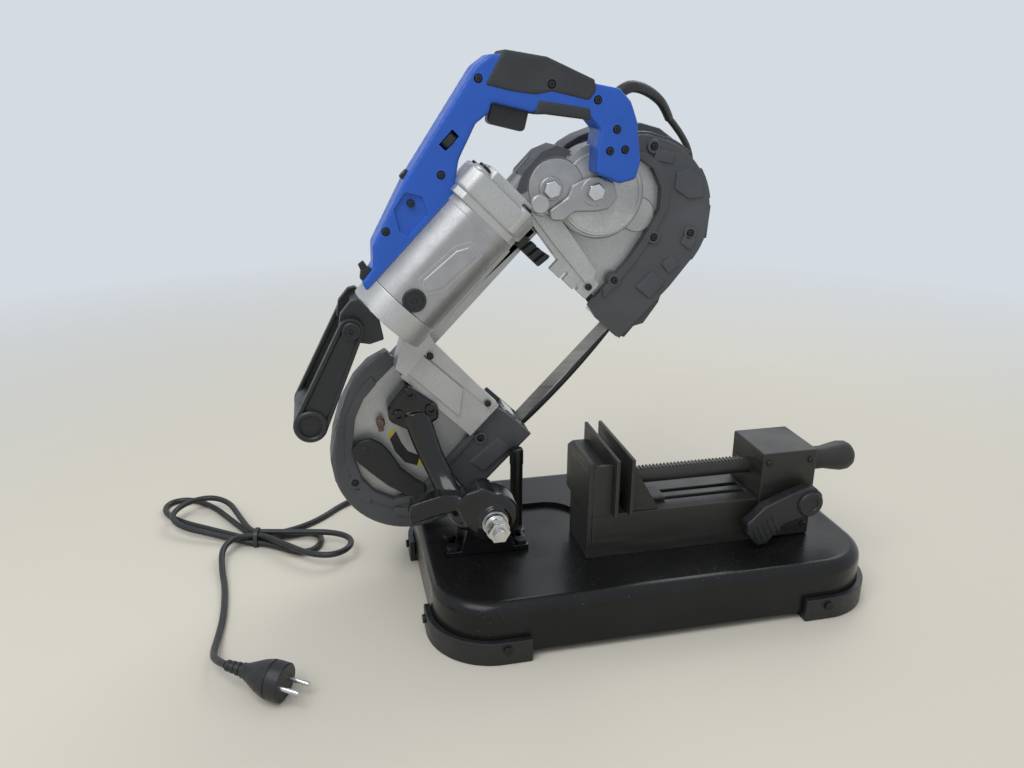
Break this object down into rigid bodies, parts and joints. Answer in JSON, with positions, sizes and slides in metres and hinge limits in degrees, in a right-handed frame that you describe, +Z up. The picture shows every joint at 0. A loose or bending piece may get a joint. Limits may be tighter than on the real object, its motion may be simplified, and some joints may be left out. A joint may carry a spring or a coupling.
{
  "type": "portable band saw on a bench stand",
  "caption": "Hand-held band saw with its motor along a closed handle, hinged on a bench stand with a quick-clamp vise, rubber corner feet and a tied mains lead",
  "frame": {"origin": "on the table, under the middle of the box of everything but the cord", "axes": "X along the base with the vise at +X, Y away from the handle side, Z up"},
  "size_m": [0.7878, 0.442, 0.5509],
  "materials": {
    "base_black": "semi-gloss powder coat",
    "foot_rubber": "matte rubber",
    "bolt_black": "blackened steel",
    "stand_black": "gloss black",
    "bolt_zinc": "zinc plate",
    "spring_steel": "drawn wire",
    "vise_olive": "satin olive black",
    "vise_cast": "painted casting",
    "cast_silver": "sand cast",
    "plate_silver": "machined",
    "gear_steel": "hardened",
    "wheel_alloy": "die cast",
    "tyre_rubber": "smooth rubber",
    "blade_steel": "spring steel",
    "guide_steel": "machined",
    "guard_grey": "matte",
    "screw_black": "black oxide",
    "stator_steel": "laminated",
    "cap_black": "matte",
    "grip_rubber": "textured rubber",
    "handle_blue": "satin",
    "trigger_grey": "matte",
    "bail_grey": "satin",
    "cord_rubber": "satin rubber",
    "plug_rubber": "satin rubber"
  },
  "bodies": {
    "stand": {"base_pan": "base_black", "corner_feet": "foot_rubber", "stand_fasteners": "bolt_black", "hinge_tower": "stand_black", "hinge_bolt": "bolt_zinc", "hinge_nut": "bolt_zinc", "hinge_spring": "spring_steel", "stop_post": "stand_black", "vise_channel": "vise_olive", "fixed_jaw": "vise_olive", "vise_block": "vise_cast", "cord_lead": "cord_rubber", "cord_tie": "cap_black", "plug": "plug_rubber"},
    "saw": {"frame": "cast_silver", "gear_case": "cast_silver", "gear_link_plate": "plate_silver", "saw_bolts": "bolt_zinc", "shaft_bearings": "gear_steel", "blade": "blade_steel", "blade_guides": "guide_steel", "drive_guard": "guard_grey", "idler_guard": "guard_grey", "rear_covers": "guard_grey", "saw_screws": "screw_black", "blade_channel": "guard_grey", "motor_housing": "cast_silver", "motor_end_cap": "cast_silver", "gear_head": "cast_silver", "stator": "stator_steel", "brush_caps": "cap_black", "grip_pads": "grip_rubber", "handle_near_shell": "handle_blue", "handle_far_shell": "handle_blue", "mount_arm": "stand_black", "arm_bracket": "stand_black", "bail_bracket": "guard_grey", "strain_relief": "cord_rubber", "cord_stub": "cord_rubber"},
    "vise_jaw": {"moving_jaw": "vise_olive", "push_rod": "vise_olive"},
    "clamp_lever": {"clamp_lever": "vise_cast"},
    "drive": {"drive_wheel": "wheel_alloy", "drive_tyre": "tyre_rubber", "drive_shaft": "gear_steel"},
    "carriage": {"idler_carriage": "gear_steel"},
    "idler": {"idler_wheel": "wheel_alloy", "idler_tyre": "tyre_rubber"},
    "reduction": {"reduction_gear": "gear_steel"},
    "bevel": {"bevel_gear": "gear_steel"},
    "lay": {"lay_shaft": "gear_steel"},
    "armature": {"armature": "stator_steel"},
    "tension": {"tension_lever": "cap_black"},
    "trigger": {"trigger": "trigger_grey"},
    "dial": {"speed_dial": "trigger_grey"},
    "bail": {"bail_handle": "bail_grey"},
    "roller_a": {"idler_side_roller_near": "gear_steel"},
    "roller_b": {"idler_side_roller_far": "gear_steel"},
    "roller_c": {"drive_side_roller_near": "gear_steel"},
    "roller_d": {"drive_side_roller_far": "gear_steel"}
  },
  "joints": [
    {"name": "saw_tilt", "type": "hinge", "parent": "stand", "child": "saw", "pos_m": [-0.11564, -0.058, 0.1165], "axis": [0, 1, 0], "range_deg": [0, 50]},
    {"name": "vise_slide", "type": "slide", "parent": "stand", "child": "vise_jaw", "axis": [1, 0, 0], "range_m": [-0.0112, 0.063]},
    {"name": "clamp_swing", "type": "hinge", "parent": "stand", "child": "clamp_lever", "pos_m": [0.21736, -0.085, 0.108], "axis": [0, 1, 0], "range_deg": [0, 75]},
    {"name": "armature_spin", "type": "hinge", "parent": "saw", "child": "armature", "pos_m": [-0.15531, -0.007, 0.36333], "axis": [0.6947, 0, 0.7193], "continuous": true},
    {"name": "lay_spin", "type": "hinge", "parent": "saw", "child": "lay", "pos_m": [-0.08272, 0.0085, 0.41835], "axis": [0.6947, 0, 0.7193], "continuous": true},
    {"name": "bevel_spin", "type": "hinge", "parent": "saw", "child": "bevel", "pos_m": [-0.04122, 0.014, 0.4311], "axis": [0, 1, 0], "continuous": true},
    {"name": "reduction_spin", "type": "hinge", "parent": "saw", "child": "reduction", "pos_m": [0.00361, 0.024, 0.42756], "axis": [0, 1, 0], "continuous": true},
    {"name": "drive_spin", "type": "hinge", "parent": "saw", "child": "drive", "pos_m": [0.05342, 0.052, 0.39809], "axis": [0, 1, 0], "continuous": true},
    {"name": "tension_turn", "type": "hinge", "parent": "saw", "child": "tension", "pos_m": [-0.23525, 0.016, 0.1625], "axis": [0, 1, 0], "range_deg": [0, 150.5]},
    {"name": "carriage_slide", "type": "slide", "parent": "saw", "child": "carriage", "axis": [0.6947, 0, 0.7193], "range_m": [0, 0.008]},
    {"name": "idler_spin", "type": "hinge", "parent": "carriage", "child": "idler", "pos_m": [-0.18624, 0.052, 0.14992], "axis": [0, 1, 0], "continuous": true},
    {"name": "trigger_pull", "type": "slide", "parent": "saw", "child": "trigger", "axis": [0.2256, 0, 0.9742], "range_m": [0, 0.005], "stiffness_N_per_m": 800},
    {"name": "dial_turn", "type": "hinge", "parent": "saw", "child": "dial", "pos_m": [-0.14595, -0.019, 0.47524], "axis": [-0.7193, 0, 0.6947], "range_deg": [0, 270]},
    {"name": "bail_swing", "type": "hinge", "parent": "saw", "child": "bail", "pos_m": [-0.24209, -0.007, 0.3109], "axis": [0, 1, 0], "range_deg": [-8, 130]},
    {"name": "roller_a_spin", "type": "hinge", "parent": "saw", "child": "roller_a", "pos_m": [-0.0692, 0.04553, 0.17035], "axis": [-0.7193, 0, 0.6947], "continuous": true},
    {"name": "roller_b_spin", "type": "hinge", "parent": "saw", "child": "roller_b", "pos_m": [-0.0692, 0.05847, 0.17035], "axis": [-0.7193, 0, 0.6947], "continuous": true},
    {"name": "roller_c_spin", "type": "hinge", "parent": "saw", "child": "roller_c", "pos_m": [0.03778, 0.04553, 0.28113], "axis": [-0.7193, 0, 0.6947], "continuous": true},
    {"name": "roller_d_spin", "type": "hinge", "parent": "saw", "child": "roller_d", "pos_m": [0.03778, 0.05847, 0.28113], "axis": [-0.7193, 0, 0.6947], "continuous": true}
  ],
  "couplings": [
    {"joint": "lay_spin", "follows": "armature_spin", "ratio": -0.30519},
    {"joint": "bevel_spin", "follows": "armature_spin", "ratio": -0.063582},
    {"joint": "reduction_spin", "follows": "armature_spin", "ratio": 0.018792},
    {"joint": "drive_spin", "follows": "armature_spin", "ratio": -0.0064585},
    {"joint": "idler_spin", "follows": "armature_spin", "ratio": -0.0064585},
    {"joint": "tension_turn", "follows": "carriage_slide", "rad_per_m": 327.25}
  ]
}
